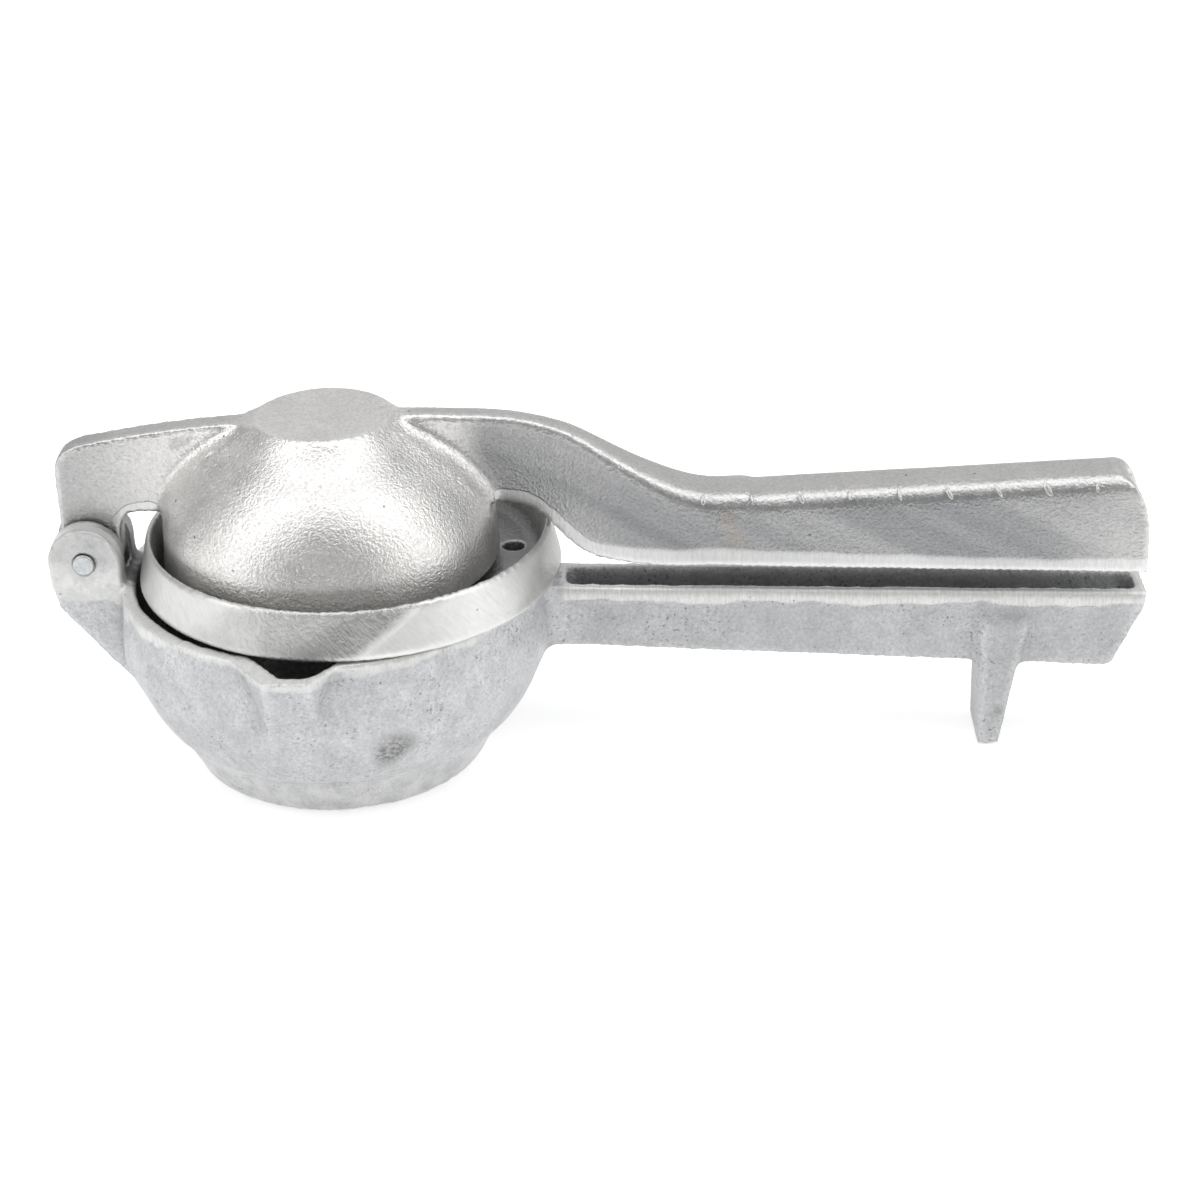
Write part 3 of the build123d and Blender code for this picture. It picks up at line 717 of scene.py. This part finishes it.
strainerSkin = {
    "voxel": 0.59, "round": 2, "seed": 8,
    "waveSize": 12, "waveDepth": 0.15, "lumpSize": 2.4, "lumpDepth": 0.05,
}
strainerMarks = {  # angles are degrees round the ring, which lean with the height over leanZ
    "castFrom": (-138, -108), "castTo": -75, "border": 5, "lean": 1.9, "leanZ": 49,
    "worn": (-34, -22), "wornGround": 0.6, "wornShade": 0.3, "leftShade": 0.12, "grooveShade": 0.48,
    "grooveFrom": (-24, -12), "grooveTo": (-4, 3), "smoothScratch": 0.05,
    "ringRadius": 45, "outerWall": (41.5, 43.0), "innerWall": (40.5, 42.5), "floorZ": 44, "insideShade": 0.8,
}
strainerLook = {
    "light": (0.66, 0.66, 0.65), "dark": (0.53, 0.53, 0.52),
    "shadedAndDull": (0.2, 0.2, 0.205), "hollowShadeColour": (0.22, 0.22, 0.22),
    "ground": (0.76, 0.76, 0.745), "groundDark": (0.69, 0.69, 0.68), "stain": (0.2, 0.19, 0.18),
    "blotSize": 6, "grainSize": 1.1, "fineSize": 0.5,
    "edgeSize": 5.0, "edgeShift": 0.7, "edgeMarks": 0.3, "edgeSoft": 0.38, "groundCalm": 0.8,
    "markSize": 0.8, "markLength": 5, "markTurn": 42,
    "pitGap": 3.4, "pitSize": 0.3, "fleckSize": 0.7, "fleckPatch": 7,
    "grainTone": 0.25, "fineTone": 0.2, "pitTone": 0.4, "fleckTone": 0.15, "hollowShade": 0.55, "edgeWearAndHighlight": 0.5,
    "rough": (0.4, 0.5), "groundRough": (0.36, 0.46), "metallic": 0.95,
    "grainDepth": 0.22, "fineDepth": 0.08, "markDepth": 0.4, "pitDepth": 0.1,
}


def markStrainer(mesh, marks):
    points, normals = readPoints(mesh), readNormals(mesh)
    low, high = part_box("strainer_insert")
    x, y, z = points.T
    across = x - (low.x + high.x) / 2 / mm
    radius, angle = np.hypot(across, y), np.arctan2(y, across)
    facing = smoothStep(outwardness(across, y, normals) + normals[:, 2] * 0.6, 0.1, 0.5)
    outside = smoothStep(radius, *marks["outerWall"]) * facing
    degrees = np.degrees(angle) - (z - marks["leanZ"]) * marks["lean"]
    # as cast in the middle of the front, partly linished from the right side round the back, else linished
    castTo = marks["castTo"]
    leftSide = fadeOut(degrees, castTo - marks["border"], castTo + marks["border"])
    worn = smoothStep(degrees, *marks["worn"])
    cast = np.maximum(smoothStep(degrees, *marks["castFrom"]) * leftSide, worn * marks["wornGround"])
    # slanting grooves on the cast part, next to the linished one
    grooveStart, grooveFull = (castTo + step for step in marks["grooveFrom"])
    grooveFade, grooveEnd = (castTo + step for step in marks["grooveTo"])
    grooved = outside * smoothStep(degrees, grooveStart, grooveFull) * fadeOut(degrees, grooveFade, grooveEnd)
    # painted shade on the ring's inner wall and floor, under the lever's cup
    inside = fadeOut(radius, *marks["innerWall"]) * (z > marks["floorZ"])
    ringShade = np.maximum.reduce([
        leftSide * marks["leftShade"], grooved * marks["grooveShade"], worn * marks["wornShade"],
    ])
    setSurface(
        mesh, np.stack([angle * marks["ringRadius"], z, x * 0], 1), hollowReach,
        ground=outside * (1 - cast), scratch=outside * marks["smoothScratch"] + grooved,
        shade=inside * marks["insideShade"] + outside * ringShade,
    )


def makeStrainer():
    piece = castCopy("strainer_insert", "strainer_casting", strainerSkin["voxel"])
    soften(piece.data, strainerSkin["round"], np.ones(len(piece.data.vertices)))
    roughen(piece, strainerSkin, castAluminium("strainerAluminium", strainerLook))
    markStrainer(piece.data, strainerMarks)
    return piece


# press lever: cup, arm and half-tube handle, all places in millimetres

leverSkin = {
    "voxel": 0.69, "fillet": 26, "round": 3, "seed": 5,
    "waveSize": 12, "waveDepth": 0.22, "lumpSize": 2.4, "lumpDepth": 0.03,
    "cupX": 0.5, "cupFoot": 48.0, "outsideZ": (47, 49), "lowEdge": (0.8, 2.0), "lowEdgeKept": 0.3,
}
webFillets = {
    "webThick": 6.2, "webCore": 2.8, "reachShare": 0.72, "rise": 15,
    "ridgeLeft": 2.9, "ridgeRight": 2.3, "ridgeEdge": 0.9, "ridgeWave": 0.25,
    "ridgeLess": 0.6, "riseLess": 0.5, "startZ": (50, 62), "underTop": 0.05, "relax": 5,
}
leverMarks = {
    "lowerEdges": ((-44, -33, 3.3), (37.4, 48, 3.3), (48, 178, 9)),  # from x, to x, half width
    "band": 3.3, "bandMore": 0.5, "bandLess": 0.8, "bandWave": 0.35, "hingeBandLess": 0.25,
    "underGround": 0.8, "flankShade": (0.86, 0.14), "farFlankLess": 0.35, "armFlankLess": 0.12,
    "bandShadeLess": 0.5,
    "headShade": (0.66, 0.2), "shoulderShade": 0.28, "topShade": (0.12, 0.3),
    "insideShade": 0.4, "tongueShade": 0.8,
    "stains": (((88, -8, 52), 0.5, 3.5), ((86, -8, 57), 0.5, 2.5)), "stainShare": 0.5,
}
leverLook = {
    "light": (0.82, 0.808, 0.79), "dark": (0.71, 0.702, 0.69),
    "shadedAndDull": (0.25, 0.255, 0.262), "hollowShadeColour": (0.24, 0.24, 0.245),
    "ground": (0.88, 0.88, 0.87), "groundDark": (0.76, 0.76, 0.75), "stain": (0.36, 0.29, 0.23),
    "blotSize": 9, "grainSize": 0.8, "fineSize": 0.45,
    "edgeSize": 3.0, "edgeShift": 0.7, "edgeMarks": 0.5, "edgeSoft": 0.2, "groundCalm": 0.8,
    "markSize": 0.5, "markLength": 7, "markTurn": 0,
    "pitGap": 5.0, "pitSize": 0.36, "fleckSize": 0.7, "fleckPatch": 12,
    "grainTone": 0.4, "fineTone": 0.45, "pitTone": 0.75, "fleckTone": 0.12, "hollowShade": 0.45, "edgeWearAndHighlight": 0.35,
    "rough": (0.36, 0.44), "groundRough": (0.34, 0.44), "metallic": 1.0,
    "grainDepth": 0.16, "fineDepth": 0.11, "markDepth": 0.06, "pitDepth": 0.25,
}


def cupOutline(radius, height, bare):
    # the cup's own outline over its foot, read where no web joins it
    turn, length = np.degrees(np.arctan2(height, radius)), np.hypot(radius, height)
    outline = []
    for level in np.arange(1.0, 72.0, 2.0):
        reach = np.median(length[bare & (length > 26) & (np.abs(turn - level) < 1)])
        slant = math.radians(level)
        outline.append((reach * math.cos(slant), leverSkin["cupFoot"] + reach * math.sin(slant)))
    return np.array(outline)


def growWebFillets(mesh, sizes):
    # wide fillets from the cup up to the web, each ending in a raised ridge on the web's face
    points, normals = readPoints(mesh), readNormals(mesh)
    x, y, z = points.T
    x = x - leverSkin["cupX"]
    radius, up = np.hypot(x, y), normals[:, 2]
    outward = outwardness(x, y, normals)
    bare = (np.abs(x) < 0.3 * radius) & (outward + up > 0.15)
    fromCup, away = sideDistance(radius, z, cupOutline(radius, z - leverSkin["cupFoot"], bare))
    fromWeb = np.abs(y) - sizes["webThick"] / 2
    corner = (fromCup > -0.8) & (fromWeb > -0.6) & (z > 49) & (outward > -0.5)
    fromCup, fromWeb = np.maximum(fromCup, 0), np.maximum(fromWeb, 0)

    # the fillet's section is a quarter of an ellipse: reach runs out along the web, rise along the cup
    ridge = np.where(x < 0, sizes["ridgeLeft"], sizes["ridgeRight"]) + sizes["ridgeWave"] * wobble(z, 9, 1.0)
    ridge *= 1 - sizes["ridgeLess"] * smoothStep(z, 74, 79)
    reach = ridge / sizes["reachShare"]
    rise = sizes["rise"] * (1 - sizes["riseLess"] * smoothStep(z, 68, 79))
    u, v = 1 - fromCup / reach, 1 - fromWeb / rise
    corner &= (u > 0) & (v > 0)
    length = np.maximum(np.hypot(u, v), 1)
    pushCup = reach * (1 - u / length) - fromCup
    pushWeb = rise * (1 - v / length) - fromWeb
    weight = fadeOut(fromCup, ridge, ridge + sizes["ridgeEdge"]) * smoothStep(z, *sizes["startZ"])
    levelFaces = smoothStep(up, 0.6, 0.85) * ((fromWeb < 0.6) | (z > 78.5))
    weight *= (1 - levelFaces) * corner
    flat = np.stack([x, y], 1) / np.maximum(radius, 1)[:, None]
    cupWay = np.column_stack([flat * away[:, :1], away[:, 1]])
    webWay = np.column_stack([x * 0, np.sign(y), x * 0])
    moved = points + weight[:, None] * (pushCup[:, None] * cupWay + pushWeb[:, None] * webWay)

    # nothing rises over the web's own top edge
    index = np.floor(points[:, 0] - points[:, 0].min()).astype(int)
    top = np.full(index.max() + 1, -farAway)
    np.maximum.at(top, index, np.where(np.abs(y) < sizes["webCore"], z, -farAway))
    lowered = np.minimum(moved[:, 2], top[index] - sizes["underTop"])
    moved[:, 2] = np.where(weight > 0.01, lowered, moved[:, 2])
    writePoints(mesh, moved)
    relaxAlong(mesh, sizes["relax"], (weight > 0.02) * 1.0)


def lowerOutline(points, edges, step=1.0):
    # the lever's lower outline seen from the side, as separate points
    x, y, z = points.T
    spots = []
    for start, end, width in edges:
        for left in np.arange(start, end, step):
            here = (x >= left) & (x < left + step) & (np.abs(y) < width)
            if here.any():
                spots.append((left + step / 2, z[here].min()))
    return spots


def edgeDistance(points):
    nearest = np.full(len(points), farAway)
    for spotX, spotZ in lowerOutline(points, leverMarks["lowerEdges"]):
        np.minimum(nearest, np.hypot(points[:, 0] - spotX, points[:, 2] - spotZ), out=nearest)
    return nearest


def shapeLever(mesh):
    growWebFillets(mesh, webFillets)
    points = readPoints(mesh)
    clear = clearOfPin(points)
    fillCorners(mesh, leverSkin["fillet"], clear * smoothStep(points[:, 2], *leverSkin["outsideZ"]))
    # the lower edge was ground flat, so it stays sharper than the rest
    lowEdge = fadeOut(edgeDistance(points), *leverSkin["lowEdge"]) * (points[:, 0] > 38)
    soften(mesh, leverSkin["round"], clear * (1 - leverSkin["lowEdgeKept"] * lowEdge))


def markLever(mesh, marks):
    points, normals = readPoints(mesh), readNormals(mesh)
    x, y, z = points.T
    up = normals[:, 2]
    side = smoothStep(np.abs(normals[:, 1]), 0.5, 0.92)
    fromEdge = edgeDistance(points)
    fromCupAxis = np.hypot(x - leverSkin["cupX"], y)

    # ground metal: a band along the lower edge and the narrow faces under it
    width = marks["band"] + marks["bandMore"] * smoothStep(x, 48, 58)
    width = width - marks["bandLess"] * smoothStep(x, 100, 130) + marks["bandWave"] * wobble(x, 46, 3.0)
    width = width * (1 - marks["hingeBandLess"] * (x < 0))
    band = fadeOut(fromEdge, width - 0.5, width + 0.5) * side
    under = smoothStep(-up, 0.5, 0.8) * (fromEdge < 2) * (x > 37)
    ground = np.maximum(band, under * marks["underGround"])

    # painted shade: flanks, level tops, hinge head and shoulders, then the cup's inside and the tongue's side
    flankShade, flankWave = marks["flankShade"]
    flank = side * smoothStep(x, 27, 36) * (1 - marks["farFlankLess"] * smoothStep(x, 150, 176))
    flank = flank * (flankShade + flankWave * wobble(x + 2 * z, 60, 1.5))
    flank *= 1 - marks["armFlankLess"] * fadeOut(x, 52, 66)
    topShade, outerTopShade = marks["topShade"]
    levelTop = smoothStep(up, 0.75, 0.9) * (topShade + outerTopShade * smoothStep(fromCupAxis, 14, 22))
    headShade, headEndShade = marks["headShade"]
    head = fadeOut(x, -58, -24) * (headShade + headEndShade * smoothStep(-normals[:, 0], 0.3, 0.8))
    shoulder = smoothStep(x, 30, 60) * marks["shoulderShade"]
    inside = (z < 76) * (fromCupAxis < 33) * (up < 0) * (x < 36)
    tongueSide = (x < -38) * (z < 58) * smoothStep(normals[:, 0], 0.3, 0.6)
    shade = np.maximum.reduce([
        flank * (1 - marks["bandShadeLess"] * band), levelTop, head, shoulder,
        inside * marks["insideShade"], tongueSide * marks["tongueShade"],
    ])

    stain = sum(near(points, *spot) for spot in marks["stains"]) * marks["stainShare"]
    trail = np.stack([x, z + y * 0.5, x * 0], 1)
    ground, scratch = ground * (1 - tongueSide), ground
    setSurface(mesh, trail, hollowReach, ground=ground, shade=shade, stain=stain, scratch=scratch)


def makeLever():
    piece = castCopy("press_lever", "lever_casting", leverSkin["voxel"])
    shapeLever(piece.data)
    roughen(piece, leverSkin, castAluminium("leverAluminium", leverLook))
    markLever(piece.data, leverMarks)
    return piece


# cast nicks along the front shoulder of the handle

nickSet = {
    "start": (81.0, -6.3, 60.6), "end": (164.5, -7.6, 62.6), "count": 9,
    "length": 3.2, "width": 1.1, "height": 0.32, "lean": -0.4, "seed": 4, "shade": 0.25,
    "turns": ((-0.75, -0.25, -0.25), (-0.65, 0.25, 0.25)),  # radians, from and to
    "sizes": ((0.7, 0.8, 0.6), (1.2, 1.1, 1.15)),  # shares of width, height and length, from and to
}


def randomVector(tree, seed, low, high):
    node = tree.nodes.new("FunctionNodeRandomValue")
    node.data_type = "FLOAT_VECTOR"
    node.inputs[0].default_value = low
    node.inputs[1].default_value = high
    tree.links.new(seed, node.inputs["Seed"])
    return node.outputs[0]


def makeNickTree():
    tree = bpy.data.node_groups.new("shoulderNicks", "GeometryNodeTree")
    face = tree.interface
    face.new_socket("Geometry", in_out="INPUT", socket_type="NodeSocketGeometry")
    for label in ("Start", "End", "Size"):
        face.new_socket(label, in_out="INPUT", socket_type="NodeSocketVector")
    face.new_socket("Lean", in_out="INPUT", socket_type="NodeSocketFloat")
    for label in ("Count", "Seed"):
        face.new_socket(label, in_out="INPUT", socket_type="NodeSocketInt")
    face.new_socket("Material", in_out="INPUT", socket_type="NodeSocketMaterial")
    face.new_socket("Geometry", in_out="OUTPUT", socket_type="NodeSocketGeometry")
    nodes, links = tree.nodes, tree.links
    given = nodes.new("NodeGroupInput").outputs
    line = nodes.new("GeometryNodeMeshLine")
    line.mode = "END_POINTS"
    links.new(given["Count"], line.inputs["Count"])
    links.new(given["Start"], line.inputs["Start Location"])
    links.new(given["End"], line.inputs["Offset"])
    drop = nodes.new("GeometryNodeMeshIcoSphere")
    drop.inputs["Radius"].default_value = 0.5
    drop.inputs["Subdivisions"].default_value = 3
    turn = randomVector(tree, given["Seed"], *nickSet["turns"])
    leaning = nodes.new("ShaderNodeCombineXYZ")
    links.new(given["Lean"], leaning.inputs["Y"])
    turned = nodes.new("ShaderNodeVectorMath")
    links.new(turn, turned.inputs[0])
    links.new(leaning.outputs[0], turned.inputs[1])
    vary = randomVector(tree, given["Seed"], *nickSet["sizes"])
    size = nodes.new("ShaderNodeVectorMath")
    size.operation = "MULTIPLY"
    links.new(vary, size.inputs[0])
    links.new(given["Size"], size.inputs[1])
    each = nodes.new("GeometryNodeInstanceOnPoints")
    links.new(line.outputs[0], each.inputs["Points"])
    links.new(drop.outputs[0], each.inputs["Instance"])
    links.new(turned.outputs[0], each.inputs["Rotation"])
    links.new(size.outputs[0], each.inputs["Scale"])
    solid = nodes.new("GeometryNodeRealizeInstances")
    links.new(each.outputs[0], solid.inputs[0])
    smooth = nodes.new("GeometryNodeSetShadeSmooth")
    links.new(solid.outputs[0], smooth.inputs["Geometry"])
    paint = nodes.new("GeometryNodeSetMaterial")
    links.new(smooth.outputs[0], paint.inputs["Geometry"])
    links.new(given["Material"], paint.inputs["Material"])
    out = nodes.new("NodeGroupOutput")
    links.new(paint.outputs[0], out.inputs[0])
    return tree


def makeNicks():
    piece = bpy.data.objects.new("handle_nicks", bpy.data.meshes.new("handle_nicks"))
    bpy.context.scene.collection.objects.link(piece)
    runTree(piece, makeNickTree(), {
        "Start": [v * mm for v in nickSet["start"]], "End": [v * mm for v in nickSet["end"]],
        "Size": [nickSet["width"] * mm, nickSet["height"] * 2 * mm, nickSet["length"] * mm],
        "Lean": nickSet["lean"], "Count": nickSet["count"], "Seed": nickSet["seed"],
        "Material": bpy.data.materials["leverAluminium"],
    })
    points = readPoints(piece.data)
    # painted shade, about as much as on the handle's shoulder
    setSurface(piece.data, points, 0, shade=np.full(len(points), nickSet["shade"]))
    return piece


# hinge pin

pinLook = {
    "colour": (0.62, 0.64, 0.65), "dark": (0.46, 0.475, 0.485), "rough": (0.36, 0.51),
    "grainSize": 0.8, "depth": 0.08,
}


def makePinSteel():
    material = bpy.data.materials.new("pinSteel")
    material.use_nodes = True
    tree = material.node_tree
    shader = tree.nodes["Principled BSDF"]
    place = tree.nodes.new("ShaderNodeTexCoord").outputs["Object"]
    grain = addNoise(tree, place, pinLook["grainSize"], 3, 0.6, seed=6.0)
    colour = mixed(tree, ranged(tree, grain, *spans["marks"]), pinLook["colour"], pinLook["dark"])
    tree.links.new(colour, shader.inputs["Base Color"])
    shader.inputs["Metallic"].default_value = 1.0
    rough = ranged(tree, grain, *spans["rough"], *pinLook["rough"])
    tree.links.new(rough, shader.inputs["Roughness"])
    bump = tree.nodes.new("ShaderNodeBump")
    bump.inputs["Distance"].default_value = mm
    tree.links.new(times(tree, grain, pinLook["depth"]), bump.inputs["Height"])
    tree.links.new(bump.outputs[0], shader.inputs["Normal"])
    return material


pin = frame["nodes"]["hinge_pin"]
pin.data.materials.clear()
pin.data.materials.append(makePinSteel())

for make, body, node, slot in (
    (makeBase, "base", "base_casting", "bowl_casting"),
    (makeStrainer, "base", "strainer_insert", "strainer_casting"),
    (makeLever, "lever", "press_lever", "lever_casting"),
    (makeNicks, "lever", None, "lever_casting"),
):
    piece = make()
    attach(piece, body)
    if node:
        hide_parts(node)
    print(piece.name, "has", sum(len(f.vertices) - 2 for f in piece.data.polygons), "triangles")
